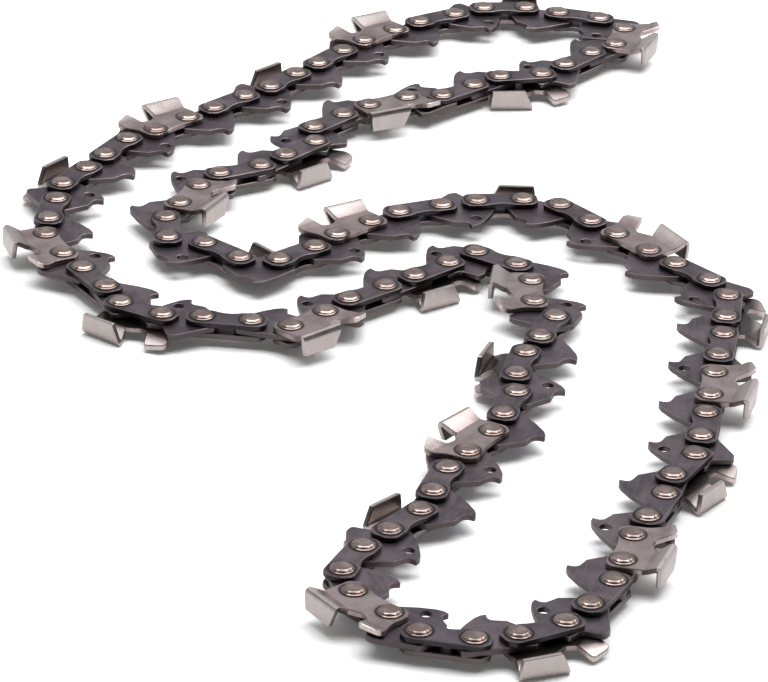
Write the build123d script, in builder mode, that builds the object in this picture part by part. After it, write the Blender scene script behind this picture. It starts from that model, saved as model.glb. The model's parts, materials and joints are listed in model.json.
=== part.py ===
from build123d import *
from math import cos, hypot, radians, sin, sqrt
import os

# Chainsaw chain loop, lying flat on its side: every rivet stands upright and the
# tangs of the drive links point into the loop. Millimetres, +Z up, 3/8 inch pitch.

# Driving dimensions.
PITCH = 9.525            # half of the distance over three rivets
OUTER = 10.44            # rivet to rivet in a pair of side plates
DRIVE = 2 * PITCH - OUTER  # rivet to rivet in a drive link
LINKS = 56               # drive links in the loop, as many pairs of side plates
PLATE = 1.2              # thickness of straps and cutters
SPACE = 1.4              # between the two side plates of a pair
PLAY = 0.05              # on each side of a drive link that turns
END = 3.4                # link end beyond its rivet
HALF = 3.2               # half height of a side plate
HEAD_R = 2.75            # rivet head, drawn with few sides: there are 224 of them
HEAD_H = 0.7
HEAD_SIDES = 7
HEAD_TAPER = 32          # degrees
PIN_R = 1.5              # rivet shank in the eyes of the drive links that turn
EYE_R = 1.58
TANG = 9.8               # tang tip from the rivet line
OIL = (2.8, 6.5)         # oil hole in every second tang
OIL_R = 1.25
RIM = 1.8                # corner of a cutter's top plate, sideways beyond its base plate
TOP_W = 4.0              # top plate, across the chain from its corner
TOP_T = 1.1              # its thickness
TOP_Y = 8.8              # its outer face from the rivet line, at the cutting edge
TOOTH = (6.2, -1.9)      # cutting edge and rear end of the top plate, along the chain
RELIEF = 1.4             # the top plate falls so much from its cutting edge to its rear end
SLANT = 15               # degrees, cutting edge leans back from the corner

# Heights of the layers: the chain lies on the corners of its lower cutters.
Z_LOWER = RIM
Z_DRIVE = Z_LOWER + PLATE
Z_UPPER = Z_DRIVE + SPACE
Z_TOP = Z_UPPER + PLATE

# Route of the rivets in plan, counterclockwise, chosen by eye from the photograph.
# FRONT and BACK are the two straight, parallel strands that can fold.
FRONT = [(3, -5), (21, 13)]
BACK = [(4, 33), (-12, 17)]
ROUTE = [
    (15, -90), (10, -108), (-1, -124), (-5, -134), (-2, -143), (5, -150),
    (10, -156), (21, -158), (30, -155), (39, -149), (47, -133), (51, -115),
    (58, -97), (60, -88), (65, -79), (68, -58), (73, -23), (75, -5),
    (71, 4), (63, 12), (51, 26), (39, 40), (30, 42), (20, 40),
    *BACK,
    (-15, 11), (-23, 4), (-32, 5), (-39, 12), (-47, 14), (-48, 24), (-43, 40),
    (-37, 50), (-28, 55), (-16, 70), (-17, 79), (-5, 92), (4, 98), (13, 100),
    (26, 113), (37, 116), (49, 131), (55, 137), (57, 147), (51, 153), (42, 155), (33, 158), (23, 157),
    (7, 146), (-6, 133), (-28, 101), (-53, 73), (-60, 66), (-67, 50), (-72, 41),
    (-74, 14), (-70, 5), (-59, -11), (-55, -20), (-46, -25), (-28, -26), (-19, -29),
    (-12, -22), (-8, -15),
    *FRONT,
    (30, 7), (33, -2), (33, -12), (38, -19), (31, -36), (29, -46), (29, -55),
    (24, -73),
]
# Moves the middle of the chain's outline to the origin.
SHIFT = (-0.94, -1.37)


def walk(scale):
    """Rivets stepped along the scaled route by straight links, and how far the last one is along it."""
    corners = [(x * scale, y * scale) for x, y in ROUTE]
    corners = corners + corners
    here = corners[0]
    leg = 0
    rivets = [here]
    for k in range(2 * LINKS):
        length = OUTER if k % 2 == 0 else DRIVE
        found = False
        while not found:
            (ax, ay), (bx, by) = corners[leg], corners[leg + 1]
            run = hypot(bx - ax, by - ay)
            ux, uy = (bx - ax) / run, (by - ay) / run
            along = (here[0] - ax) * ux + (here[1] - ay) * uy
            off = (here[0] - ax) * uy - (here[1] - ay) * ux
            reach = along + sqrt(length ** 2 - off ** 2) if abs(off) < length else -1
            found = 0 <= reach <= run
            if not found:
                leg = leg + 1
        here = (ax + ux * reach, ay + uy * reach)
        rivets.append(here)
    return rivets, leg + reach / run


# The scale at which the last link meets the first rivet again.
low, high = 0.2, 5
for step in range(70):
    middle = (low + high) / 2
    if walk(middle)[1] > len(ROUTE):
        low = middle
    else:
        high = middle
RIVETS = [(x + SHIFT[0], y + SHIFT[1]) for x, y in walk(high)[0][:-1]]

# Links are named by the rivet they start at: side plates at odd ones, drive links at even ones.
NEAR_OUTER = list(range(101, 112, 2)) + list(range(1, 38, 2))
NEAR_DRIVE = list(range(102, 113, 2)) + list(range(2, 37, 2))
FAR_OUTER = list(range(41, 98, 2))
FAR_DRIVE = list(range(42, 97, 2))


def frame(first, height, up=True):
    """Plane of a link: origin at its first rivet, X along the chain, Y into the loop."""
    (ax, ay), (bx, by) = RIVETS[first - 1], RIVETS[first % len(RIVETS)]
    return Plane(origin=(ax, ay, height), x_dir=(bx - ax, by - ay, 0), z_dir=(0, 0, 1 if up else -1))


def is_left(first):
    return first % 8 == 7


def is_right(first):
    return first % 8 == 3


# Outlines, X along the chain in its cutting direction, Y into the loop.
STRAP = [
    (-END, -1.5), (-1.9, -HALF), (OUTER + 1.9, -HALF), (OUTER + END, -1.5),
    (OUTER + END, 1.5), (OUTER + 1.9, HALF), (OUTER / 2, HALF - 0.9), (-1.9, HALF), (-END, 1.5),
]
CUTTER = [
    (-END, -1.5), (-1.9, -4.0), (5.0, -5.6), (8.4, -3.8), (10.2, -5.2), (11.2, -7.7),
    (13.6, -7.9), (OUTER + END, 1.5), (OUTER + 1.9, HALF), (OUTER / 2, HALF - 0.9), (-1.9, HALF), (-END, 1.5),
]
# Section of a bent tooth at the cutting edge: Y into the loop, then out from the base plate's face.
BEND = [
    (-TOP_Y + 4.2, 0), (-TOP_Y + 1.1, RIM), (-TOP_Y, RIM), (-TOP_Y, RIM - TOP_W), (-TOP_Y + TOP_T, RIM - TOP_W),
    (-TOP_Y + TOP_T, RIM - TOP_T), (-TOP_Y + 4.2, -PLATE),
]
TANG_LINK = [
    (-0.6 * END, -0.9 * HALF), (DRIVE + 0.6 * END, -0.9 * HALF), (DRIVE + 0.97 * END, 0), (DRIVE + 1.03 * END, 2.4),
    (8.4, TANG - 2.5), (6.2, TANG - 2.1), (4.8, TANG), (2.8, TANG - 0.3), (-1.15 * END, 2.5), (-0.97 * END, 0),
]


def outlines(firsts, height, points):
    """Faces with one outline of straight edges, in the plane of each of the given links."""
    faces = []
    for first in firsts:
        with BuildSketch(frame(first, height)) as outline:
            with BuildLine():
                Polyline(*points, close=True)
            make_face()
        faces += outline.sketch.faces()
    return faces


def teeth(firsts, up):
    """Bent teeth of cutters, on the upper or the lower side: each section runs back along its relief."""
    for first in firsts:
        side = frame(first, Z_TOP if up else Z_LOWER, up)
        along, out = side.x_dir, side.z_dir
        inward = side.y_dir if up else -side.y_dir
        lean = along * sin(radians(SLANT)) + out * cos(radians(SLANT))
        edge = Plane(origin=side.origin + along * TOOTH[0] + out * RIM, x_dir=inward, z_dir=inward.cross(lean))
        with BuildSketch(edge) as section:
            with BuildLine():
                Polyline(*[(y, (z - RIM) / cos(radians(SLANT))) for y, z in BEND], close=True)
            make_face()
        run = along * (TOOTH[1] - TOOTH[0]) + inward * RELIEF
        extrude(section.sketch.faces(), amount=run.length, dir=run)


def drive_outlines(firsts, height, eyes=()):
    """Faces of drive links, with round eyes at the given places and an oil hole in every second link."""
    faces = []
    for first in firsts:
        with BuildSketch(frame(first, height)) as outline:
            with BuildLine():
                Polyline(*TANG_LINK, close=True)
            make_face()
            for x in eyes:
                with Locations((x, 0)):
                    Circle(EYE_R, mode=Mode.SUBTRACT)
            if first % 4 == 0:
                with Locations(OIL):
                    RegularPolygon(OIL_R, 5, mode=Mode.SUBTRACT)
        faces += outline.sketch.faces()
    return faces


def head_outlines(firsts):
    """Rivet heads of pairs of side plates: the upper ones face up, the lower ones down."""
    faces = []
    for height, up in ((Z_TOP, True), (Z_LOWER, False)):
        for first in firsts:
            with BuildSketch(frame(first, height, up)) as heads:
                with Locations((0, 0), (OUTER, 0)):
                    RegularPolygon(HEAD_R, HEAD_SIDES)
            faces += heads.sketch.faces()
    return faces


def pin_outlines(numbers):
    """Shanks of the given rivets, where a drive link turns."""
    faces = []
    for number in numbers:
        with BuildSketch(frame(number, Z_DRIVE)) as shank:
            Circle(PIN_R)
        faces += shank.sketch.faces()
    return faces


# Near run: the loop from the front strand round the near end to the back strand.
with BuildPart() as near_drive_links:
    extrude(drive_outlines(NEAR_DRIVE, Z_DRIVE), amount=SPACE)

with BuildPart() as near_upper_straps:
    extrude(outlines([i for i in NEAR_OUTER if not is_left(i)], Z_UPPER, STRAP), amount=PLATE)

with BuildPart() as near_lower_straps:
    extrude(outlines([i for i in NEAR_OUTER if not is_right(i)], Z_LOWER, STRAP), amount=PLATE)

with BuildPart() as near_left_cutters:
    extrude(outlines([i for i in NEAR_OUTER if is_left(i)], Z_UPPER, CUTTER), amount=PLATE)
    teeth([i for i in NEAR_OUTER if is_left(i)], True)

with BuildPart() as near_right_cutters:
    extrude(outlines([i for i in NEAR_OUTER if is_right(i)], Z_LOWER, CUTTER), amount=PLATE)
    teeth([i for i in NEAR_OUTER if is_right(i)], False)

with BuildPart() as near_rivets:
    extrude(head_outlines(NEAR_OUTER), amount=HEAD_H, taper=HEAD_TAPER)
    extrude(pin_outlines([101, 38]), amount=SPACE)

# Far run: the rest of the loop. Its two end drive links turn on rivets of the strands.
with BuildPart() as far_drive_links:
    extrude(drive_outlines(FAR_DRIVE, Z_DRIVE), amount=SPACE)

with BuildPart() as far_end_links:
    extrude(drive_outlines([98], Z_DRIVE + PLAY, eyes=[DRIVE]), amount=SPACE - 2 * PLAY)
    extrude(drive_outlines([40], Z_DRIVE + PLAY, eyes=[0]), amount=SPACE - 2 * PLAY)

with BuildPart() as far_upper_straps:
    extrude(outlines([i for i in FAR_OUTER if not is_left(i)], Z_UPPER, STRAP), amount=PLATE)

with BuildPart() as far_lower_straps:
    extrude(outlines([i for i in FAR_OUTER if not is_right(i)], Z_LOWER, STRAP), amount=PLATE)

with BuildPart() as far_left_cutters:
    extrude(outlines([i for i in FAR_OUTER if is_left(i)], Z_UPPER, CUTTER), amount=PLATE)
    teeth([i for i in FAR_OUTER if is_left(i)], True)

with BuildPart() as far_right_cutters:
    extrude(outlines([i for i in FAR_OUTER if is_right(i)], Z_LOWER, CUTTER), amount=PLATE)
    teeth([i for i in FAR_OUTER if is_right(i)], False)

with BuildPart() as far_rivets:
    extrude(head_outlines(FAR_OUTER), amount=HEAD_H, taper=HEAD_TAPER)

# Front strand: a drive link and a pair of side plates that fold, with a right-hand cutter.
with BuildPart() as front_drive_link:
    extrude(drive_outlines([100], Z_DRIVE + PLAY, eyes=[0, DRIVE]), amount=SPACE - 2 * PLAY)

with BuildPart() as front_strap:
    extrude(outlines([99], Z_UPPER, STRAP), amount=PLATE)

with BuildPart() as front_cutter:
    extrude(outlines([99], Z_LOWER, CUTTER), amount=PLATE)
    teeth([99], False)

with BuildPart() as front_rivets:
    extrude(head_outlines([99]), amount=HEAD_H, taper=HEAD_TAPER)
    extrude(pin_outlines([99, 100]), amount=SPACE)

# Back strand: the same, with a left-hand cutter.
with BuildPart() as back_drive_link:
    extrude(drive_outlines([38], Z_DRIVE + PLAY, eyes=[0, DRIVE]), amount=SPACE - 2 * PLAY)

with BuildPart() as back_strap:
    extrude(outlines([39], Z_LOWER, STRAP), amount=PLATE)

with BuildPart() as back_cutter:
    extrude(outlines([39], Z_UPPER, CUTTER), amount=PLATE)
    teeth([39], True)

with BuildPart() as back_rivets:
    extrude(head_outlines([39]), amount=HEAD_H, taper=HEAD_TAPER)
    extrude(pin_outlines([39, 40]), amount=SPACE)

NODES = {
    "near_drive_links": near_drive_links,
    "near_upper_straps": near_upper_straps,
    "near_lower_straps": near_lower_straps,
    "near_left_cutters": near_left_cutters,
    "near_right_cutters": near_right_cutters,
    "near_rivets": near_rivets,
    "far_drive_links": far_drive_links,
    "far_end_links": far_end_links,
    "far_upper_straps": far_upper_straps,
    "far_lower_straps": far_lower_straps,
    "far_left_cutters": far_left_cutters,
    "far_right_cutters": far_right_cutters,
    "far_rivets": far_rivets,
    "front_drive_link": front_drive_link,
    "front_strap": front_strap,
    "front_cutter": front_cutter,
    "front_rivets": front_rivets,
    "back_drive_link": back_drive_link,
    "back_strap": back_strap,
    "back_cutter": back_cutter,
    "back_rivets": back_rivets,
}
os.makedirs("parts", exist_ok=True)
for name, node in NODES.items():
    node.part.label = name
    export_step(node.part, f"parts/{name}.step")
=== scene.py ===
# %% [markdown]
# # A chainsaw chain, link by link
# A saw chain is a loop of stamped steel plates on short rivets. Three kinds of plate repeat all the
# way round: drive links in the middle, whose tangs point into the loop, tie straps on both sides, and
# cutters that stand in for a strap at every second pair, left and right in turn.
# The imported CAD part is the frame: it says where each rivet is and what can move.
# This lesson dresses it with rounded edges, formed heads and worn steel.

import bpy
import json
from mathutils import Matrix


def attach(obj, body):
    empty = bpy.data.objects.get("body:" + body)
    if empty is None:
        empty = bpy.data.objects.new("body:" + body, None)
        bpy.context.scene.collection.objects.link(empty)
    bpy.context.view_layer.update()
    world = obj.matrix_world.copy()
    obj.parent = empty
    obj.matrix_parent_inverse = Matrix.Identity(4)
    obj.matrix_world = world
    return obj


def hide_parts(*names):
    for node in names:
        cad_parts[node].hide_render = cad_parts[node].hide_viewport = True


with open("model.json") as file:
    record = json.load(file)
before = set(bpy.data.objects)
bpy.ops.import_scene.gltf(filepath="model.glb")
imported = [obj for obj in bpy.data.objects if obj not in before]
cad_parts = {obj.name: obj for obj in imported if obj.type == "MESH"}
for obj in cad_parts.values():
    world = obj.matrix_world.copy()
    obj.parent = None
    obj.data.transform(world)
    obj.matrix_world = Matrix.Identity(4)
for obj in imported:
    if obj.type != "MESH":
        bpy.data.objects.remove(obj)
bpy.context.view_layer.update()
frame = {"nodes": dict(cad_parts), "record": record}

# %% [markdown]
# ## Camera
# A product photograph is taken from far away with a long lens, so near and far links look almost
# the same size. The lens and the place were solved from the 112 rivet heads in the photograph.
# A camera could also be set by eye, but with this many known points a solved one is closer.

# %% Camera
import bpy
import json
from math import atan2, cos, pi, radians, sin, tan

SENSOR, LENS = 36, 213.26                              # millimetres
CAMERA_PLACE = (0.000795, -0.894995, 0.423090)         # metres
CAMERA_TURN = (64.0680, -2.0883, 1.0377)               # degrees
scene = bpy.context.scene
scene.view_settings.view_transform = "Standard"


def placed(name, data):
    """A new object in the scene, at the origin and unturned."""
    made = bpy.data.objects.new(name, data)
    scene.collection.objects.link(made)
    return made


lens = bpy.data.cameras.new("long_lens")
lens.sensor_width, lens.lens = SENSOR, LENS
lens.clip_start, lens.clip_end = 0.05, 20
camera = placed("camera", lens)
camera.location = CAMERA_PLACE
camera.rotation_euler = [radians(a) for a in CAMERA_TURN]
scene.camera = camera
print("camera with a lens of", lens.lens, "mm")

# %% [markdown]
# ## Where the links go
# Every link sits on two rivets, so the rivets are all the layout that is needed. They are read from
# the CAD: the flat tops of the upper rivet heads. Corners of the same head lie close together, and
# their middle is the rivet. The links could be placed by hand, but read this way they
# stay on the CAD even after its route is changed.

# %% Rivets of the CAD part
from mathutils import Vector

MM = 0.001
OUTER, DRIVE = 10.44 * MM, 8.61 * MM     # rivet to rivet in a pair of side plates, and in a drive link
PLATE, SPACE = 1.2 * MM, 1.4 * MM        # plate thickness, and the room between two side plates
HEAD, HEAD_RADIUS = 0.7 * MM, 2.5 * MM   # height and radius of a rivet head
Z_LOWER = 1.8 * MM                       # the chain lies on the corners of its lower cutters
Z_DRIVE = Z_LOWER + PLATE
Z_UPPER = Z_DRIVE + SPACE
Z_TOP = Z_UPPER + PLATE
RUNS = ("near", "far", "front", "back")  # two long runs, and the two short strands between them
SAME_HEAD = 3                            # corners of one head are closer than this, in millimetres


def rivets_of(node):
    """Middles of the upper rivet heads of a CAD node."""
    crown = Z_TOP + HEAD * 0.98          # just under the flat tops
    corners = [v.co for v in frame["nodes"][node].data.vertices if v.co.z > crown]
    tops = {tuple(round(c / MM, 4) for c in co) for co in corners}
    heads = []
    while tops:
        head = [tops.pop()]
        for corner in head:
            near = [t for t in tops if (Vector(t) - Vector(corner)).length < SAME_HEAD]
            head += near
            tops -= set(near)
        heads.append(sum((Vector(h) for h in head), Vector()) / len(head) * MM)
    return [Vector((h.x, h.y)) for h in heads]


rivets = [(spot, run) for run in RUNS for spot in rivets_of(run + "_rivets")]
print(len(rivets), "rivets found in the CAD part")

# %% [markdown]
# ## Walk round the loop
# Saw chain has two spacings in turn, one in the side plates and one in the drive link. From a rivet,
# the next one is exactly that far away, so the loop can be walked like stepping stones. The walk
# starts at the front strand, in the direction that the teeth cut.

# %% Rivets in order
def off_by(a, b, length):
    """How much the distance of two rivets differs from a given one."""
    return abs((a[0] - b[0]).length - length)


strand = [r for r in rivets if r[1] == "front"]
far = [r for r in rivets if r[1] == "far"]
walk = [min(strand, key=lambda r: min(off_by(q, r, DRIVE) for q in far))]
left = [r for r in rivets if r is not walk[0]]
while left:
    length = OUTER if len(walk) % 2 else DRIVE
    walk.append(min(left, key=lambda r: off_by(r, walk[-1], length)))
    left.remove(walk[-1])
print("the walk ends", round((walk[-1][0] - walk[0][0]).length / MM, 2), "mm from its start")

# %% [markdown]
# ## Which link is where
# The links follow a cycle of eight rivets: four pairs of side plates with one left cutter above and
# one right cutter below, and four drive links, of which every second one is drilled. Each link is
# noted under the CAD node that it dresses. A list typed by hand would do for one cycle, but the
# rule covers all fourteen.

# %% Links in order
CYCLE = 8                                # rivets from one left cutter to the next
LEFT_AT, RIGHT_AT = 4, 0                 # where in the cycle a left and a right cutter start
DRIVE_NODES = {                          # the runs that a drive link joins: its CAD node
    frozenset(["near"]): "near_drive_links", frozenset(["far"]): "far_drive_links",
    frozenset(["front", "near"]): "front_drive_link", frozenset(["near", "back"]): "back_drive_link"}
links = {}                               # CAD node: list of (start, heading, height, drilled)


def add(node, k, height, drilled=0.0):
    """Notes a link from rivet k to the next one."""
    (a, _), (b, _) = walk[k], walk[(k + 1) % len(walk)]
    links.setdefault(node, []).append((a, atan2(b.y - a.y, b.x - a.x), height, drilled))


def side_node(run, side, cuts):
    """CAD node of a side plate. A short strand has one strap and one cutter."""
    if run in ("front", "back"):
        return f"{run}_cutter" if cuts else f"{run}_strap"
    hand = "left" if side == "upper" else "right"
    return f"{run}_{hand}_cutters" if cuts else f"{run}_{side}_straps"


for k in range(0, len(walk), 2):
    run = walk[k][1]
    add(side_node(run, "upper", k % CYCLE == LEFT_AT), k, Z_UPPER)
    add(side_node(run, "lower", k % CYCLE == RIGHT_AT), k, Z_LOWER)
    joined = frozenset([walk[k + 1][1], walk[(k + 2) % len(walk)][1]])
    in_front_of_cutter = k % (CYCLE // 2) == 0
    add(DRIVE_NODES.get(joined, "far_end_links"), k + 1, Z_DRIVE, float(in_front_of_cutter))
print({node: len(found) for node, found in links.items()})

# %% [markdown]
# ## Rounded outlines
# The plates are stamped from strip and tumbled, so no corner is sharp. An outline is a short list of
# corners, each with the radius that rounds it. Blender could bevel the corners of a mesh, but
# rounding the outline itself keeps the faces few and even.

# %% Outline helper
MOST = 0.49                              # share of a side that the rounding of one corner may use


def rounded(corners, bend=24):
    """Points of an outline with rounded corners (x, y, radius), one at least every bend degrees."""
    points = []
    for i, (x, y, radius) in enumerate(corners):
        here = Vector((x, y))
        back = Vector(corners[i - 1][:2]) - here
        on = Vector(corners[(i + 1) % len(corners)][:2]) - here
        turn = back.angle(on)
        reach = min(radius / tan(turn / 2), MOST * back.length, MOST * on.length)
        radius = reach * tan(turn / 2)
        halfway = (back.normalized() + on.normalized()).normalized()
        middle = here + halfway * radius / sin(turn / 2)
        first = here + back.normalized() * reach - middle
        last = here + on.normalized() * reach - middle
        steps = max(1, round((pi - turn) / radians(bend)))
        swing = first.angle_signed(last)
        for s in range(steps + 1):
            a = -swing * s / steps
            x, y = first.x * cos(a) - first.y * sin(a), first.x * sin(a) + first.y * cos(a)
            points.append(middle + Vector((x, y)))
    return points


print(len(rounded([(0, 0, 1), (4, 0, 1), (4, 4, 1), (0, 4, 1)])), "points round a square with soft corners")

# %% [markdown]
# ## Stamping a plate
# A flat 2D curve fills itself, and a second spline inside the first one becomes a hole. Extrude gives
# the plate its thickness and a small bevel breaks the edges, as tumbling does. The curve is then
# turned into a mesh. Each vertex also keeps its place on the link in an attribute called local,
# so that the steel can be worn in the same places on every link, wherever that link lies.

# %% Plate helper
import bmesh
from mathutils import Matrix

HOLE_SIDES = 16


def to_mesh(made, name):
    """A plain mesh object from an object with live modifiers or from a curve. The maker is removed."""
    mesh = bpy.data.meshes.new_from_object(made.evaluated_get(bpy.context.evaluated_depsgraph_get()))
    mesh.name = name
    bpy.data.objects.remove(made)
    return placed(name, mesh)


def clean(obj, shifted=None, merge=0.004 * MM):
    """Merges doubled points, turns the faces outwards and notes each point's place on the link."""
    work = bmesh.new()
    work.from_mesh(obj.data)
    bmesh.ops.remove_doubles(work, verts=work.verts, dist=merge)
    bmesh.ops.recalc_face_normals(work, faces=work.faces)
    work.to_mesh(obj.data)
    work.free()
    if "local" in obj.data.attributes:
        obj.data.attributes.remove(obj.data.attributes["local"])
    place = obj.data.attributes.new("local", "FLOAT_VECTOR", "POINT")
    spots = [shifted(v.co) if shifted else v.co for v in obj.data.vertices]
    place.data.foreach_set("vector", [c for spot in spots for c in spot])
    return obj


def stamped(name, outline, thick, holes=(), edge=0.14 * MM):
    """A plate that lies on Z = 0, from an outline and round holes (x, y, radius) in millimetres."""
    curve = bpy.data.curves.new(name, "CURVE")
    curve.dimensions = "2D"
    curve.fill_mode = "BOTH"
    curve.extrude = thick / 2 - edge
    curve.bevel_depth = edge
    curve.bevel_resolution = 0
    curve.offset = -edge
    angles = [2 * pi * i / HOLE_SIDES for i in range(HOLE_SIDES)]
    rings = [outline] + [[Vector((x + r * cos(a), y + r * sin(a))) for a in angles] for x, y, r in holes]
    for ring in rings:
        spline = curve.splines.new("POLY")
        spline.points.add(len(ring) - 1)
        for point, co in zip(spline.points, ring):
            point.co = (co.x * MM, co.y * MM, 0, 1)
        spline.use_cyclic_u = True
    plate = to_mesh(placed(name, curve), name)
    plate.data.transform(Matrix.Translation((0, 0, thick / 2)))
    return clean(plate)


print("plate helpers ready")

# %% [markdown]
# ## Straps and drive links
# A strap is waisted on the side of the guide bar. A drive link ends in a hooked tang that runs in the
# groove of the bar and rakes oil along it. Every second one stands in front of a cutter: it is drilled to
# carry oil, and its outer side rises in a ramp that keeps the cutter from snatching. Both drive
# links share the tang, so each outline is the tang and its own outer side.

# %% Straps and drive links
P, D = OUTER / MM, DRIVE / MM            # the two spacings in millimetres, for the outlines
END, HALF = 3.4, 3.2                     # a side plate's end beyond its rivet, and half its width
PLAY = 0.05 * MM                         # room between a drive link and the plate next to it
STRAP = [
    (-END, -1.6, 1.4), (-2.0, -HALF, 1.6), (P + 2.0, -HALF, 1.6), (P + END, -1.6, 1.4),
    (P + END, 1.6, 1.4), (P + 2.0, HALF, 1.6), (P - 2.2, 3.0, 2.0), (P / 2 + 1.4, 2.2, 3.0),
    (P / 2 - 1.4, 2.2, 3.0), (2.2, 3.0, 2.0), (-2.0, HALF, 1.6), (-END, 1.6, 1.4)]
TANG = [
    (D + 3.3, 0, 1.5), (D + 3.5, 2.4, 0.9), (8.5, 7.1, 0.4), (5.1, 8.1, 2.0), (5.3, 10.2, 0.12),
    (4.1, 10.1, 0.5), (2.7, 9.4, 1.5), (0.2, 7.2, 6.0), (-3.9, 2.5, 1.2), (-3.3, 0, 1.5)]
LEVEL = [(-3.2, -2.9, 0.9), (D + 3.2, -2.9, 0.9)]
RAMP = [
    (-3.2, -2.9, 0.9), (0.5, -3.3, 1.2), (1.9, -7.7, 1.0), (3.9, -7.5, 1.0), (10.2, -3.2, 2.5),
    (D + 3.2, -2.6, 0.9)]
OIL_HOLE = (2.8, 6.6, 1.25)              # x, y and radius
strap = stamped("strap", rounded(STRAP), PLATE)
drive_link = stamped("drive_link", rounded(LEVEL + TANG), SPACE - 2 * PLAY)
oiled_link = stamped("drive_link_with_ramp", rounded(RAMP + TANG), SPACE - 2 * PLAY, holes=[OIL_HOLE])
for plate in (strap, drive_link, oiled_link):
    print(plate.name, "has", len(plate.data.polygons), "faces")

# %% [markdown]
# ## Side plate of a cutter
# A cutter begins as a side plate. Towards the outside it runs out into the tooth at the rear and the
# depth gauge in front, with a round gullet between. The gauge is set a little outwards: a cut across
# the mesh gives it a fold line, and the points beyond the line are lifted in proportion. A bend
# modifier could do it too, but would also round what is a straight fold.

# %% Side plate of a cutter
GAUGE = [(11.3, -8.7, 0.8), (16.2, -7.2, 1.2)]         # top corners of the depth gauge
TIGHT_GAUGE = [(11.2, -7.7, 0.6), (13.6, -7.9, 0.9)]   # the same where the chain folds tightly
FOLD, FOLD_RISE = -5.2, 0.36             # y of the fold line, and the rise per millimetre beyond it
GAUGE_FROM = 8                           # x that divides the tooth from the depth gauge


def cutter_plate(name, gauge):
    """Stamped side plate of a cutter, with its depth gauge set a little outwards."""
    plate = stamped(name, rounded([
        (-END, -1.4, 1.4), (-3.3, -4.6, 0.6), (4.8, -5.6, 0.3), (6.4, -5.0, 0.7), (7.8, -4.3, 1.3),
        (9.8, -4.9, 0.9), *gauge, (P + 3.6, -2.6, 2.5), (P + END, 1.6, 1.4), (P + 2.0, HALF, 1.6),
        (P / 2 + 1.4, 2.3, 3.0), (P / 2 - 1.4, 2.3, 3.0), (-2.0, HALF, 1.6), (-END, 1.6, 1.4)]), PLATE)
    work = bmesh.new()
    work.from_mesh(plate.data)
    everything = work.verts[:] + work.edges[:] + work.faces[:]
    bmesh.ops.bisect_plane(work, geom=everything, plane_co=(0, FOLD * MM, 0), plane_no=(0, 1, 0))
    for v in work.verts:
        if v.co.x > GAUGE_FROM * MM and v.co.y < FOLD * MM:
            v.co.z += FOLD_RISE * (FOLD * MM - v.co.y)
    work.to_mesh(plate.data)
    work.free()
    return plate


print("depth gauge", -GAUGE[0][1], "mm from the rivet line")

# %% [markdown]
# ## The bent tooth
# The tooth flares out from the side plate, bends over in a round corner and goes back across the chain
# as the top plate. It is a strip: an inner and an outer line of points round the bend, repeated at
# a few stations along the chain. Behind its cutting edge it falls away, so that only the edge
# touches the wood. A solidified sheet is another way, but here each end of the strip has its own slant.

# %% Bent tooth
# Section at the cutting edge: y and z of the middle of the strip, z from the side plate's inner face,
# then x of the strip's rear and front end there.
SECTION = [
    (-4.2, 0.60, -3.0, 4.6), (-5.7, 0.62, -3.3, 4.9), (-6.4, 0.95, -3.5, 5.1), (-8.30, 2.25, -4.1, 5.6),
    (-8.70, 2.45, -4.3, 5.8), (-9.02, 2.41, -4.3, 5.8), (-9.17, 2.12, -4.3, 5.7), (-9.20, 1.55, -4.3, 5.5),
    (-9.20, 0.00, -4.2, 4.8), (-9.20, -1.90, -3.9, 3.9)]
FLARE = -6                               # y beyond which the strip has left the side plate
STATIONS, TOOTH_THICK = 5, 1.1           # rows of points along the tooth, and its thickness
EDGE_X, TOOTH_LONG = 6.2, 10.4           # x of the cutting edge, and the length that falls away
RELIEF, DROP = 1.3, 0.22                 # fall towards the chain in millimetres, and share of the height lost
MID_PLATE = 0.6                          # middle of the side plate's thickness


def bent_tooth(name, trim):
    """Strip for one tooth, with its top plate set back by trim."""
    strip = bmesh.new()
    line = [Vector((y + trim * (y < FLARE), z)) for y, z, *_ in SECTION]
    last = len(line) - 1

    def corner(i, s, side):
        _, z, rear, front = SECTION[i]
        across = (line[min(i + 1, last)] - line[max(i - 1, 0)]).normalized()
        x = rear + (front - rear) * s / (STATIONS - 1)
        fall = (EDGE_X - x) / TOOTH_LONG
        y = line[i].x + RELIEF * fall - across.y * side * TOOTH_THICK
        low = z - DROP * fall * max(0.0, z - MID_PLATE)
        return strip.verts.new((x * MM, y * MM, (low + across.x * side * TOOTH_THICK) * MM))

    rows = [[[corner(i, s, side) for i in range(last + 1)] for side in (0.5, -0.5)] for s in range(STATIONS)]
    for a, b in zip(rows, rows[1:]):
        for i in range(last):
            strip.faces.new((a[0][i], a[0][i + 1], b[0][i + 1], b[0][i]))
            strip.faces.new((a[1][i + 1], a[1][i], b[1][i], b[1][i + 1]))
        strip.faces.new((a[0][0], b[0][0], b[1][0], a[1][0]))
        strip.faces.new((a[0][-1], a[1][-1], b[1][-1], b[0][-1]))
    for ring, flip in ((rows[0], False), (rows[-1], True)):
        for i in range(last):
            quad = (ring[0][i], ring[1][i], ring[1][i + 1], ring[0][i + 1])
            strip.faces.new(quad[::-1] if flip else quad)
    bmesh.ops.recalc_face_normals(strip, faces=strip.faces)
    mesh = bpy.data.meshes.new(name)
    strip.to_mesh(mesh)
    strip.free()
    return placed(name, mesh)


print("a tooth has", STATIONS, "stations of", 2 * len(SECTION), "points")

# %% [markdown]
# ## Whole cutters
# Side plate and tooth are one piece of steel, so a Boolean union joins them, after a Bevel has taken
# the sharpness off the tooth. The right cutter is the mirror image of the left one. The cutter in
# the front strand folds close to its neighbours and is cut back, as in the CAD part.

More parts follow.
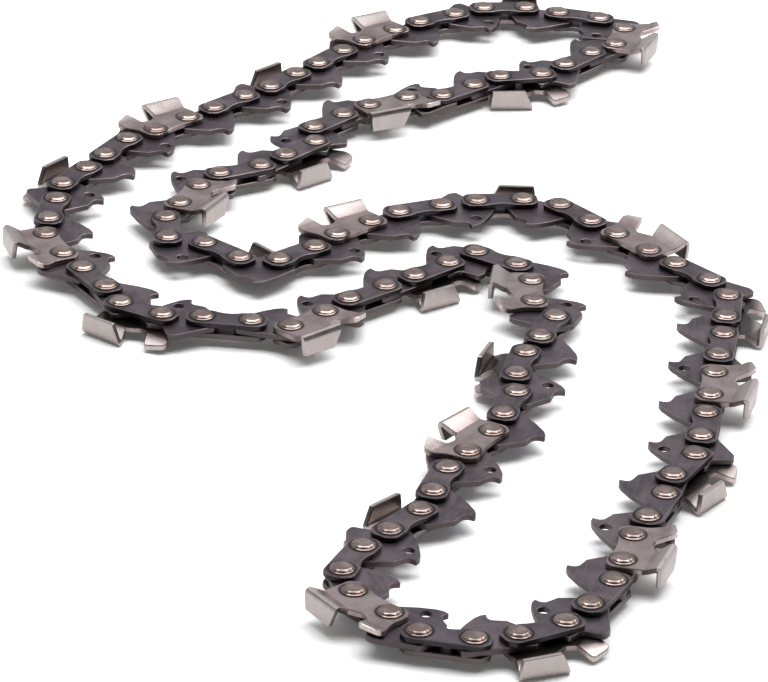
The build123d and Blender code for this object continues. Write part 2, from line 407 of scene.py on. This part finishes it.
# %% Whole cutters
TIGHT_TRIM = 0.85                        # how far the tooth is set back where the chain folds tightly
TRIM_FROM = -5.6                         # y beyond which a tooth that is set back has moved
SOFT_EDGE, SHARP_TURN = 0.12 * MM, 50    # bevel, and the degrees from which an edge gets one


def cutter(name, gauge=GAUGE, trim=0.0, mirror=False):
    """Side plate and tooth joined in one piece."""
    plate, tooth = cutter_plate(name, gauge), bent_tooth(name + "_tooth", trim)
    soften = tooth.modifiers.new("soft edges", "BEVEL")
    soften.width, soften.segments = SOFT_EDGE, 1
    soften.limit_method, soften.angle_limit = "ANGLE", radians(SHARP_TURN)
    union = plate.modifiers.new("one piece", "BOOLEAN")
    union.operation, union.object, union.solver = "UNION", tooth, "EXACT"
    made = to_mesh(plate, name)
    bpy.data.objects.remove(tooth)
    if mirror:
        made.data.transform(Matrix.Translation((0, 0, PLATE)) @ Matrix.Scale(-1, 4, (0, 0, 1)))

    def on_whole_tooth(co):
        """Where a point would be on a tooth that isn't set back, so that both are worn alike."""
        moved = co.y < TRIM_FROM * MM and co.x < GAUGE_FROM * MM
        return co - Vector((0, trim * MM, 0)) if moved else co

    return clean(made, on_whole_tooth)


left_cutter = cutter("left_cutter")
right_cutter = cutter("right_cutter", mirror=True)
tight_cutter = cutter("tight_cutter", TIGHT_GAUGE, TIGHT_TRIM, mirror=True)
print("a cutter has", len(left_cutter.data.polygons), "faces, and the right one is its mirror image")

# %% [markdown]
# ## Steel finishes
# Three finishes: dark blued steel on links and straps, warm hard chrome on the cutters, brighter where
# the teeth are ground, and bare steel on the rivets. None is one flat colour: each mixes cloudy
# staining with wear. Painted image textures are another way, but nodes stay sharp at any distance.
# A material takes many nodes, so a small class gives each kind of node a short name.

# %% Finish helpers
class Finish:
    """A material and short ways to add nodes to it."""

    def __init__(self, name):
        self.material = bpy.data.materials.new(name)
        self.material.use_nodes = True
        self.nodes, self.wires = self.material.node_tree.nodes, self.material.node_tree.links
        self.shader = self.nodes["Principled BSDF"]

    def put(self, socket, value):
        if isinstance(value, bpy.types.NodeSocket):
            self.wires.new(value, socket)
        else:
            socket.default_value = value

    def math(self, what, *values):
        node = self.nodes.new("ShaderNodeMath")
        node.operation = what
        for socket, value in zip(node.inputs, values):
            self.put(socket, value)
        return node.outputs[0]

    def times(self, a, b):
        return self.math("MULTIPLY", a, b)

    def scaled(self, vector, factors):
        node = self.nodes.new("ShaderNodeMapping")
        self.put(node.inputs["Vector"], vector)
        node.inputs["Scale"].default_value = factors
        return node.outputs[0]

    def noise(self, vector, scale, detail):
        node = self.nodes.new("ShaderNodeTexNoise")
        self.put(node.inputs["Vector"], vector)
        node.inputs["Scale"].default_value, node.inputs["Detail"].default_value = scale, detail
        return node.outputs["Fac"]

    def span(self, value, low, high, to_low=0.0, to_high=1.0):
        """Goes softly from to_low to to_high while the value goes from low to high."""
        node = self.nodes.new("ShaderNodeMapRange")
        node.interpolation_type = "SMOOTHSTEP"
        for socket, v in zip(node.inputs, (value, low, high, to_low, to_high)):
            self.put(socket, v)
        return node.outputs[0]

    def mix(self, share, a, b):
        node = self.nodes.new("ShaderNodeMix")
        node.data_type = "RGBA"
        self.put(node.inputs["Factor"], share)
        sockets = [s for s in node.inputs if s.type == "RGBA"]
        for socket, colour in zip(sockets, (a, b)):
            self.put(socket, (*colour, 1) if isinstance(colour, tuple) else colour)
        return [s for s in node.outputs if s.type == "RGBA"][0]

    def attribute(self, name, output):
        node = self.nodes.new("ShaderNodeAttribute")
        node.attribute_name = name
        return node.outputs[output]

    def object_place(self):
        return self.nodes.new("ShaderNodeTexCoord").outputs["Object"]

    def split(self, vector):
        node = self.nodes.new("ShaderNodeSeparateXYZ")
        self.put(node.inputs[0], vector)
        return node.outputs

    def lean(self):
        """0 on level faces, 1 on upright ones."""
        z = self.split(self.nodes.new("ShaderNodeNewGeometry").outputs["Normal"])["Z"]
        return self.math("SUBTRACT", 1.0, self.math("ABSOLUTE", z))

    def from_rivet(self, local, x):
        """Distance on the link from a rivet at x, in metres."""
        sx, sy, _ = self.split(local)
        dx = self.math("SUBTRACT", sx, x)
        return self.math("SQRT", self.math("ADD", self.times(dx, dx), self.times(sy, sy)))

    def bump(self, height, strength, depth):
        node = self.nodes.new("ShaderNodeBump")
        node.inputs["Strength"].default_value, node.inputs["Distance"].default_value = strength, depth
        self.put(node.inputs["Height"], height)
        self.put(self.shader.inputs["Normal"], node.outputs[0])

    def finish(self, colour, rough, metal):
        self.put(self.shader.inputs["Base Color"], colour)
        self.put(self.shader.inputs["Roughness"], rough)
        self.shader.inputs["Metallic"].default_value = metal
        return self.material


CLOUDS = 0.35, 0.68                      # noise values between which the staining goes from dark to pale
LINES = 0.45, 0.75                       # the same for the fine lines that rolling leaves in the strip
print("finish helpers ready")

# %% [markdown]
# ## Blued steel
# Drive links and straps are blued: a dark oxide with a touch of violet. Fine lines along the link come
# from noise that is stretched along its length. A dark ring round each rivet is painted shade at the foot
# of its head, together with old oil, at a distance that is worked out from the local attribute. Edges are
# rubbed pale and carry a painted highlight: a bevel leans more than a flat face and less than an upright
# one, so the lean of a face finds it. The cut sides are painted in shade on the upper straps and lighter,
# as if lit, on the lower ones.

# %% Blued steel of the drive links and straps
BLUE_DARK, BLUE_PALE = (0.080, 0.062, 0.075), (0.186, 0.146, 0.166)
BLUE_LINES, BLUE_STAIN = (0.20, 0.17, 0.18), (0.065, 0.056, 0.075)
# a dark ring of painted shade with old oil round the rivets, and pale rubbed wear with a painted highlight on
# the bevels
BLUE_OIL_AND_SHADE, BLUE_RUBBED_AND_HIGHLIGHT = (0.020, 0.016, 0.019), (0.32, 0.275, 0.27)
# the cut sides are painted in shade on the upper straps and lighter, as if lit, on the lower ones
SIDES_UPPER_SHADED, SIDES_LOWER_LIT = (0.030, 0.025, 0.028), (0.14, 0.117, 0.112)     # cut sides of the straps
SIDES_DRIVE = (0.105, 0.085, 0.084)                                        # and of the drive links

f = Finish("blued_steel")
local = f.attribute("local", "Vector")
tone = f.attribute("tone", "Fac")
cloud = f.noise(f.object_place(), 160, 4)
lines = f.noise(f.scaled(local, (120, 2600, 400)), 1.0, 2)
steel = f.mix(f.span(cloud, *CLOUDS), BLUE_DARK, BLUE_PALE)
steel = f.mix(f.times(f.span(lines, *LINES), 0.5), steel, BLUE_LINES)
steel = f.mix(f.times(tone, 0.4), steel, BLUE_STAIN)
middle = f.attribute("middle", "Fac")    # 1 on drive links, 0 on straps
second = f.math("ADD", OUTER, f.times(middle, DRIVE - OUTER))
# a dark ring of painted shade with old oil at the foot of each rivet head
ring = f.math("MINIMUM", f.from_rivet(local, 0.0), f.from_rivet(local, second))
steel = f.mix(f.span(ring, 2.7 * MM, 3.3 * MM, 0.97, 0.0), steel, BLUE_OIL_AND_SHADE)
lean = f.lean()
# painted shade on the cut sides of the upper straps, painted light on those of the lower straps
under = f.span(f.split(f.object_place())["Z"], 3.2 * MM, 2.9 * MM)         # 1 on the lower straps
upright = f.mix(middle, f.mix(under, SIDES_UPPER_SHADED, SIDES_LOWER_LIT), SIDES_DRIVE)
steel = f.mix(f.span(lean, 0.45, 0.9, 0.0, 0.85), steel, upright)
# rubbed wear with a painted highlight along the bevels
bevel = f.times(f.span(lean, 0.06, 0.2), f.span(lean, 0.5, 0.36))
steel = f.mix(f.times(bevel, f.span(cloud, 0.3, 0.6, 0.35, 0.9)), steel, BLUE_RUBBED_AND_HIGHLIGHT)
grain = f.noise(f.object_place(), 900, 2)
f.bump(f.math("ADD", f.times(lines, 0.4), grain), 0.14, 0.05 * MM)
blued_steel = f.finish(steel, f.span(cloud, 0.3, 0.7, 0.44, 0.32), 0.9)
print("blued steel has", len(f.nodes), "nodes")

# %% [markdown]
# ## Hard chrome
# The cutters are plated with hard chrome, warmer and paler than the links. The outer part of the tooth
# is ground and silvery, without drawing lines, and the tip of the depth gauge is worn bright. The
# inner faces are painted dark as shade: inside the tooth, and with oil on the lower cutters near the
# chain. A dark ring round each rivet is painted shade with old oil. All these zones are read from the
# place on the link, so they could also be painted as vertex colours, but a rule gives softer borders on
# so few vertices.

# %% Hard chrome of the cutters
CHROME_DARK, CHROME_PALE, CHROME_LINES = (0.27, 0.208, 0.206), (0.43, 0.345, 0.34), (0.455, 0.377, 0.37)
GROUND_DARK, GROUND_PALE, WORN_TIP = (0.475, 0.422, 0.405), (0.505, 0.452, 0.433), (0.60, 0.535, 0.515)
# a dark ring of painted shade with old oil round the rivets, painted shade with oil on the lower cutters' inner
# faces, and painted shade on the tooth's inner face
CHROME_OIL_AND_SHADE, INNER_SHADE_AND_OIL, INNER_TOOTH_SHADE = (0.026, 0.020, 0.019), (0.035, 0.028, 0.028), (0.115, 0.083, 0.078)
TOP_MIDDLE, TOP_SLANT = -8.425 * MM, -0.125            # middle line of the top plate: y at x = 0, and its slope

f = Finish("cutter_chrome")
local = f.attribute("local", "Vector")
spot = f.split(local)
height = f.split(f.object_place())["Z"]
cloud = f.noise(f.object_place(), 220, 4)
lines = f.noise(f.scaled(local, (150, 2200, 500)), 1.0, 2)
chrome = f.mix(f.span(cloud, *CLOUDS), CHROME_DARK, CHROME_PALE)
chrome = f.mix(f.times(f.span(lines, *LINES), 0.35), chrome, CHROME_LINES)
# a dark ring of painted shade with old oil at the foot of each rivet head
ring = f.math("MINIMUM", f.from_rivet(local, 0.0), f.from_rivet(local, OUTER))
chrome = f.mix(f.span(ring, 2.65 * MM, 3.2 * MM, 0.97, 0.0), chrome, CHROME_OIL_AND_SHADE)

on_tooth = f.span(spot["X"], 9.4 * MM, 8.6 * MM)       # 0 on the depth gauge
outward = f.math("ADD", spot["Y"], f.times(f.math("SUBTRACT", spot["X"], EDGE_X * MM), 0.05))
ground = f.times(f.span(outward, -5.0 * MM, -7.4 * MM), on_tooth)
streaks = f.noise(f.scaled(local, (2400, 160, 160)), 1.0, 2)
chrome = f.mix(ground, chrome, f.mix(f.span(streaks, 0.35, 0.7), GROUND_DARK, GROUND_PALE))
gauge_tip = f.times(f.span(spot["Y"], -6.4 * MM, -7.8 * MM), f.span(spot["X"], 9.6 * MM, 10.4 * MM))
chrome = f.mix(f.times(gauge_tip, f.span(streaks, 0.3, 0.7, 0.6, 1.0)), chrome, WORN_TIP)

# painted shade with oil on the lower cutters' inner faces, under the plates above them
low_inside_shade = f.times(f.span(height, 3.3 * MM, 3.05 * MM), f.span(spot["Y"], -7.0 * MM, -5.2 * MM))
chrome = f.mix(f.times(low_inside_shade, f.span(f.lean(), 0.5, 0.2, 0.0, 0.9)), chrome, INNER_SHADE_AND_OIL)
# painted shade on the inner face of the tooth, under its top
top_line = f.math("ADD", TOP_MIDDLE, f.times(spot["X"], TOP_SLANT))
depth = f.math("SUBTRACT", spot["Y"], top_line)        # inwards from the middle of the top plate
inner_face_shade = f.times(f.span(depth, 0.1 * MM, 0.4 * MM), f.span(depth, 1.0 * MM, 0.8 * MM))
between = f.times(f.span(height, 6.5 * MM, 6.2 * MM), f.span(height, 0.9 * MM, 1.2 * MM))
inner_face_shade = f.times(f.times(inner_face_shade, between), on_tooth)
chrome = f.mix(f.times(inner_face_shade, 0.85), chrome, INNER_TOOTH_SHADE)

drawn = f.times(lines, f.math("SUBTRACT", 1.0, ground))
f.bump(f.math("ADD", drawn, f.times(f.noise(f.object_place(), 1100, 2), 0.4)), 0.1, 0.04 * MM)
cutter_chrome = f.finish(chrome, f.span(cloud, 0.3, 0.7, 0.36, 0.24), 0.95)
print("hard chrome has", len(f.nodes), "nodes")

# %% [markdown]
# ## Bare steel
# The rivet heads are rubbed bright by handling and by the bar. Their crown is painted a little darker
# towards its edge, as shade before the shoulder, the collar is duller and the foot is painted black as
# shade where the head meets the plate. Only the distance from the middle matters on a round head, so
# one number drives all three.

# %% Bare steel of the rivet heads
BARE_DARK, BARE_PALE = (0.255, 0.19, 0.172), (0.415, 0.328, 0.298)
# painted shade at the crown's edge, a duller collar, and painted shade at the foot of the head
CROWN_EDGE_SHADE, COLLAR, FOOT_SHADE = (0.12, 0.086, 0.078), (0.14, 0.105, 0.095), (0.02, 0.016, 0.016)

f = Finish("rivet_steel")
cloud = f.noise(f.object_place(), 420, 3)
bare = f.mix(f.span(cloud, *CLOUDS), BARE_DARK, BARE_PALE)
radius = f.from_rivet(f.attribute("local", "Vector"), 0.0)
# painted shade towards the edge of the crown
crown = f.times(f.span(radius, 1.78 * MM, 1.72 * MM), f.span(radius, 1.1 * MM, 1.70 * MM, 0.0, 0.4))
bare = f.mix(crown, bare, CROWN_EDGE_SHADE)
bare = f.mix(f.span(radius, 2.12 * MM, 2.2 * MM, 0.0, 0.45), bare, COLLAR)
# painted shade, black at the foot of the head where it meets the plate
bare = f.mix(f.span(radius, 2.43 * MM, HEAD_RADIUS, 0.0, 0.9), bare, FOOT_SHADE)
f.bump(f.noise(f.object_place(), 1500, 2), 0.1, 0.04 * MM)
rivet_steel = f.finish(bare, f.span(cloud, 0.3, 0.7, 0.22, 0.14), 1.0)
print("three finishes:", blued_steel.name, cutter_chrome.name, rivet_steel.name)

# %% [markdown]
# ## Links along the chain
# Well over a hundred plates from six shapes are work for Geometry Nodes. Each link is one point with a
# heading. The tree puts a copy of the link on every point and turns it by that heading. Drive links
# come with and without an oil hole, so the tree takes two shapes and a mark on the point says which.
# Object copies in a Python loop would work too, but the tree keeps the layout and the shape apart.

# %% Tree helpers
def tree_with(name, inputs):
    """An empty tree with named inputs (title, kind, value), and its group input and output."""
    tree = bpy.data.node_groups.new(name, "GeometryNodeTree")
    tree.interface.new_socket("Geometry", in_out="OUTPUT", socket_type="NodeSocketGeometry")
    for title, kind, value in [("Geometry", "Geometry", None)] + inputs:
        socket = tree.interface.new_socket(title, in_out="INPUT", socket_type="NodeSocket" + kind)
        if value is not None:
            socket.default_value = value
    return tree, tree.nodes.new("NodeGroupInput"), tree.nodes.new("NodeGroupOutput")


def named(tree, title):
    """A number that the points carry."""
    node = tree.nodes.new("GeometryNodeInputNamedAttribute")
    node.data_type = "FLOAT"
    node.inputs["Name"].default_value = title
    return node.outputs["Attribute"]


def hand_on(tree, copies, given, result):
    """Turns the copies into one mesh, gives it the finish and hands it to the output."""
    real = tree.nodes.new("GeometryNodeRealizeInstances")
    paint = tree.nodes.new("GeometryNodeSetMaterial")
    tree.links.new(copies.outputs[0], real.inputs[0])
    tree.links.new(real.outputs[0], paint.inputs["Geometry"])
    tree.links.new(given.outputs["Finish"], paint.inputs["Material"])
    tree.links.new(paint.outputs[0], result.inputs[0])


print("tree helpers ready")

# %% Tree that lays links on points
links_tree, given, result = tree_with("links along the chain", [
    ("Plain link", "Object", None), ("Drilled link", "Object", None), ("Finish", "Material", None)])
wire = links_tree.links.new
turn = links_tree.nodes.new("ShaderNodeCombineXYZ")
wire(named(links_tree, "heading"), turn.inputs["Z"])
rotation = links_tree.nodes.new("FunctionNodeEulerToRotation")
wire(turn.outputs[0], rotation.inputs[0])
drilled = named(links_tree, "drilled")
join = links_tree.nodes.new("GeometryNodeJoinGeometry")
for title, test in (("Plain link", "LESS_THAN"), ("Drilled link", "GREATER_THAN")):
    shape = links_tree.nodes.new("GeometryNodeObjectInfo")
    wire(given.outputs[title], shape.inputs["Object"])
    pick = links_tree.nodes.new("FunctionNodeCompare")
    pick.operation = test
    wire(drilled, pick.inputs["A"])
    pick.inputs["B"].default_value = 0.5
    place = links_tree.nodes.new("GeometryNodeInstanceOnPoints")
    wire(given.outputs["Geometry"], place.inputs["Points"])
    wire(pick.outputs[0], place.inputs["Selection"])
    wire(shape.outputs["Geometry"], place.inputs["Instance"])
    wire(rotation.outputs[0], place.inputs["Rotation"])
    wire(place.outputs[0], join.inputs[0])
hand_on(links_tree, join, given, result)
print("tree", links_tree.name, "has", len(links_tree.nodes), "nodes")

# %% [markdown]
# ## Points with headings
# The tree needs one vertex per link. A mesh of loose vertices carries them, with four numbers on
# each: the heading, the mark for an oil hole, a mark for drive links, and a tone, a seeded random number
# that makes some links a shade darker. The tree's inputs are set by the socket's identifier before
# anything is evaluated.

# %% Laying helpers
import random

dice = random.Random(56)
body_of = {node: body for body, nodes in frame["record"]["behaviour"]["bodies"].items() for node in nodes}


def points_object(name, spots, numbers):
    """An object of loose vertices that carry the given lists of numbers."""
    mesh = bpy.data.meshes.new(name)
    mesh.from_pydata(spots, [], [])
    for title, values in numbers.items():
        mesh.attributes.new(title, "FLOAT", "POINT").data.foreach_set("value", values)
    return placed(name, mesh)


def laid(name, holder, tree, inputs, sharp):
    """Runs a tree on the points and keeps the result as a plain mesh, smooth below sharp degrees."""
    modifier = holder.modifiers.new("lay", "NODES")
    modifier.node_group = tree
    for item in tree.interface.items_tree:
        if item.in_out == "INPUT" and item.name in inputs:
            modifier[item.identifier] = inputs[item.name]
    piece = to_mesh(holder, name)
    piece.data.shade_smooth()
    piece.data.set_sharp_from_angle(angle=radians(sharp))
    return piece


def dressed(piece, node):
    """Attaches the piece to the body that it moves with, and hides the CAD node that it dresses."""
    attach(piece, body_of[node])
    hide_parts(node)


print("bodies that links ride on:", sorted(set(body_of.values())))

# %% [markdown]
# ## Lay the links
# Each CAD node becomes one piece: all the links of a kind that move together. One object per link would
# be easier to pick in the viewport, but the frame counts nodes. The six single links have done
# their work when all are laid, so they are taken out of the scene.

# %% Lay the links
LINK_SHARP = 30                          # degrees from which an edge of a link stays sharp


def shapes_of(node):
    """The plain and the drilled shape of a node's links, their finish and its slot."""
    if "cutter" in node:
        single = {"front_cutter": tight_cutter, "back_cutter": left_cutter}
        one = single.get(node, left_cutter if "left" in node else right_cutter)
        return one, one, cutter_chrome, "cutter_chrome"
    if "strap" in node:
        return strap, strap, blued_steel, "blued_steel"
    return drive_link, oiled_link, blued_steel, "blued_steel"


for node, found in links.items():
    plain, bored, finish, slot = shapes_of(node)
    is_drive = plain is drive_link
    lift = PLAY if is_drive else 0.0
    holder = points_object(node + "_points", [(a.x, a.y, z + lift) for a, _, z, _ in found], {
        "heading": [h for _, h, _, _ in found], "drilled": [d for *_, d in found],
        "tone": [dice.random() for _ in found], "middle": [float(is_drive) for _ in found]})
    inputs = {"Plain link": plain, "Drilled link": bored, "Finish": finish}
    piece = laid(node + "_look", holder, links_tree, inputs, LINK_SHARP)
    dressed(piece, node)
    print(f"{piece.name}: {len(found)} links, {len(piece.data.polygons)} faces")
for shape in (strap, drive_link, oiled_link, left_cutter, right_cutter, tight_cutter):
    bpy.data.objects.remove(shape)

# %% [markdown]
# ## Rivet heads
# A rivet is spun over at both ends: a low head with a flat crown, a sloping shoulder and a narrow
# collar. A lathe profile would do, but in Geometry Nodes a cylinder with a few rings is easy to
# shape: a curve widget says how wide each ring is at its height. There are 224 heads, so each has
# fewer than a hundred faces.

# %% Shape of a rivet head
HEAD_SIDES = 18
RINGS = ((0.0, 1.0), (0.2, 0.985), (0.4, 0.90), (0.6, 0.88), (0.8, 0.81), (1.0, 0.70))   # level, width
RING_POWER = 1.15                        # above 1, the rings lie closer together near the foot
head_inputs = {"Head radius": HEAD_RADIUS, "Head height": HEAD, "Upper face": Z_TOP, "Lower face": Z_LOWER}
heads_tree, given, result = tree_with("rivet heads", [
    *[(title, "Float", value) for title, value in head_inputs.items()],
    ("Sides", "Int", HEAD_SIDES), ("Finish", "Material", None)])
wire = heads_tree.links.new


def calc(what, *values):
    """A Math node of the tree."""
    node = heads_tree.nodes.new("ShaderNodeMath")
    node.operation = what
    for socket, value in zip(node.inputs, values):
        if isinstance(value, bpy.types.NodeSocket):
            wire(value, socket)
        else:
            socket.default_value = value
    return node.outputs[0]


blank = heads_tree.nodes.new("GeometryNodeMeshCylinder")
blank.fill_type = "NGON"
wire(given.outputs["Sides"], blank.inputs["Vertices"])
blank.inputs["Side Segments"].default_value = len(RINGS) - 1
blank.inputs["Radius"].default_value = blank.inputs["Depth"].default_value = 1.0
where = heads_tree.nodes.new("ShaderNodeSeparateXYZ")
wire(heads_tree.nodes.new("GeometryNodeInputPosition").outputs[0], where.inputs[0])
level = calc("ADD", where.outputs["Z"], 0.5)           # 0 at the foot, 1 at the crown
profile = heads_tree.nodes.new("ShaderNodeFloatCurve")
wire(level, profile.inputs["Value"])
widths = profile.mapping.curves[0]
widths.points[0].location, widths.points[1].location = RINGS[0], RINGS[-1]
for at, width in RINGS[1:-1]:
    widths.points.new(at, width)
for point in widths.points:
    point.handle_type = "VECTOR"
profile.mapping.update()
wide = calc("MULTIPLY", profile.outputs[0], given.outputs["Head radius"])
high = calc("MULTIPLY", given.outputs["Head height"], calc("POWER", level, RING_POWER))
shaped = heads_tree.nodes.new("ShaderNodeCombineXYZ")
wire(calc("MULTIPLY", where.outputs["X"], wide), shaped.inputs["X"])
wire(calc("MULTIPLY", where.outputs["Y"], wide), shaped.inputs["Y"])
wire(high, shaped.inputs["Z"])
move = heads_tree.nodes.new("GeometryNodeSetPosition")
wire(blank.outputs["Mesh"], move.inputs["Geometry"])
wire(shaped.outputs[0], move.inputs["Position"])
print("a head has", len(RINGS), "rings of", HEAD_SIDES, "points")

# %% [markdown]
# ## A head on each face
# The finish of a head depends on the distance from its middle, so each head keeps its own coordinates
# in the local attribute, as the links do. Copies are then put on every point twice: on the upper
# face, and turned over on the lower face.

# %% Heads on both faces
note = heads_tree.nodes.new("GeometryNodeStoreNamedAttribute")
note.data_type, note.domain = "FLOAT_VECTOR", "POINT"
note.inputs["Name"].default_value = "local"
wire(move.outputs[0], note.inputs["Geometry"])
wire(heads_tree.nodes.new("GeometryNodeInputPosition").outputs[0], note.inputs["Value"])
join = heads_tree.nodes.new("GeometryNodeJoinGeometry")
for title, over in (("Upper face", 0.0), ("Lower face", pi)):
    face = heads_tree.nodes.new("ShaderNodeCombineXYZ")
    wire(given.outputs[title], face.inputs["Z"])
    lift = heads_tree.nodes.new("GeometryNodeSetPosition")
    wire(given.outputs["Geometry"], lift.inputs["Geometry"])
    wire(face.outputs[0], lift.inputs["Offset"])
    place = heads_tree.nodes.new("GeometryNodeInstanceOnPoints")
    wire(lift.outputs[0], place.inputs["Points"])
    wire(note.outputs[0], place.inputs["Instance"])
    place.inputs["Rotation"].default_value = (over, 0, 0)
    wire(place.outputs[0], join.inputs[0])
hand_on(heads_tree, join, given, result)
print("tree", heads_tree.name, "has", len(heads_tree.nodes), "nodes")

# %% Set the rivets
HEAD_SHARP = 24                          # degrees from which an edge of a head stays sharp
head_inputs.update({"Sides": HEAD_SIDES, "Finish": rivet_steel})
for run in RUNS:
    spots = [(a.x, a.y, 0) for a, r in walk if r == run]
    holder = points_object(f"{run}_rivet_points", spots, {})
    piece = laid(f"{run}_rivets_look", holder, heads_tree, head_inputs, HEAD_SHARP)
    dressed(piece, f"{run}_rivets")
    print(f"{piece.name}: {len(spots)} rivets, {len(piece.data.polygons)} faces")

# %% [markdown]
# ## Floor
# The photograph has a white sweep, with only soft shadows under the links. The floor is a wide pale
# disc. Straight to the camera its colour is brighter, and it glows a little there and in reflections,
# so that it reads as white, and its diffuse part still takes the chain's shadow. A floor that only
# catches shadows is another way, but steel has to mirror the floor as well.

# %% Floor
FLOOR_RADIUS, FLOOR_SIDES = 5, 64
PALE, WHITE = (0.95, 0.95, 0.95), (1.28, 1.28, 1.28)   # as the light meets it, and as the camera sees it
GLOW = 0.06

disc = bmesh.new()
bmesh.ops.create_circle(disc, cap_ends=True, segments=FLOOR_SIDES, radius=FLOOR_RADIUS)
floor_mesh = bpy.data.meshes.new("floor")
disc.to_mesh(floor_mesh)
disc.free()
floor = placed("floor", floor_mesh)
f = Finish("white_sweep")
f.shader.inputs["Roughness"].default_value = 0.9
f.shader.inputs["Specular IOR Level"].default_value = 0.1
rays = f.nodes.new("ShaderNodeLightPath").outputs
f.put(f.shader.inputs["Base Color"], f.mix(rays["Is Camera Ray"], PALE, WHITE))
mirrored = f.math("MAXIMUM", rays["Is Glossy Ray"], rays["Is Transmission Ray"])
seen = f.math("MAXIMUM", rays["Is Camera Ray"], mirrored)
f.shader.inputs["Emission Color"].default_value = (1, 1, 1, 1)
f.put(f.shader.inputs["Emission Strength"], f.times(seen, GLOW))
floor_mesh.materials.append(f.material)
print("floor laid")

# %% [markdown]
# ## Light
# Polished rims show what is above them, so the light is a picture in itself. A broad soft box overhead
# makes the pale crescent on the front of every rivet, and a smaller one at the right and behind
# brightens the flared teeth. The room is a gradient from dim walls to a lighter ceiling, which keeps
# the flat steel dark, and it is darkest on the photographer's side, as a studio is. A studio image
# for the world is the usual way, but two lights and a gradient are easier to tune.

# %% Studio
world = bpy.data.worlds.new("studio")
scene.world = world
world.use_nodes = True
room, wires = world.node_tree.nodes, world.node_tree.links


def room_span(value, *limits):
    """Goes from the third to the fourth limit while the value goes from the first to the second."""
    node = room.new("ShaderNodeMapRange")
    wires.new(value, node.inputs[0])
    for socket, limit in zip(list(node.inputs)[1:5], limits):
        socket.default_value = limit
    return node.outputs[0]


def soft_box(name, place, size, power):
    """A rectangular light that shines straight down."""
    light = bpy.data.lights.new(name, "AREA")
    light.shape = "RECTANGLE"
    light.size, light.size_y, light.energy = *size, power
    placed(name, light).location = place


sky = room.new("ShaderNodeSeparateXYZ")
wires.new(room.new("ShaderNodeTexCoord").outputs["Generated"], sky.inputs[0])
strength = room.new("ShaderNodeMath")
strength.operation = "MULTIPLY"
wires.new(room_span(sky.outputs["Z"], 0.0, 1.0, 0.44, 1.0), strength.inputs[0])        # walls to ceiling
wires.new(room_span(sky.outputs["Y"], -0.3, 0.5, 0.08, 1.0), strength.inputs[1])       # front to back
wires.new(strength.outputs[0], room["Background"].inputs["Strength"])
room["Background"].inputs["Color"].default_value = (0.97, 0.98, 1.0, 1)
soft_box("overhead_box", (0.12, 0.12, 1.0), (1.25, 0.7), 9.6)
soft_box("side_box", (0.80, 0.65, 0.85), (0.7, 0.6), 2.5)
print("studio lit")
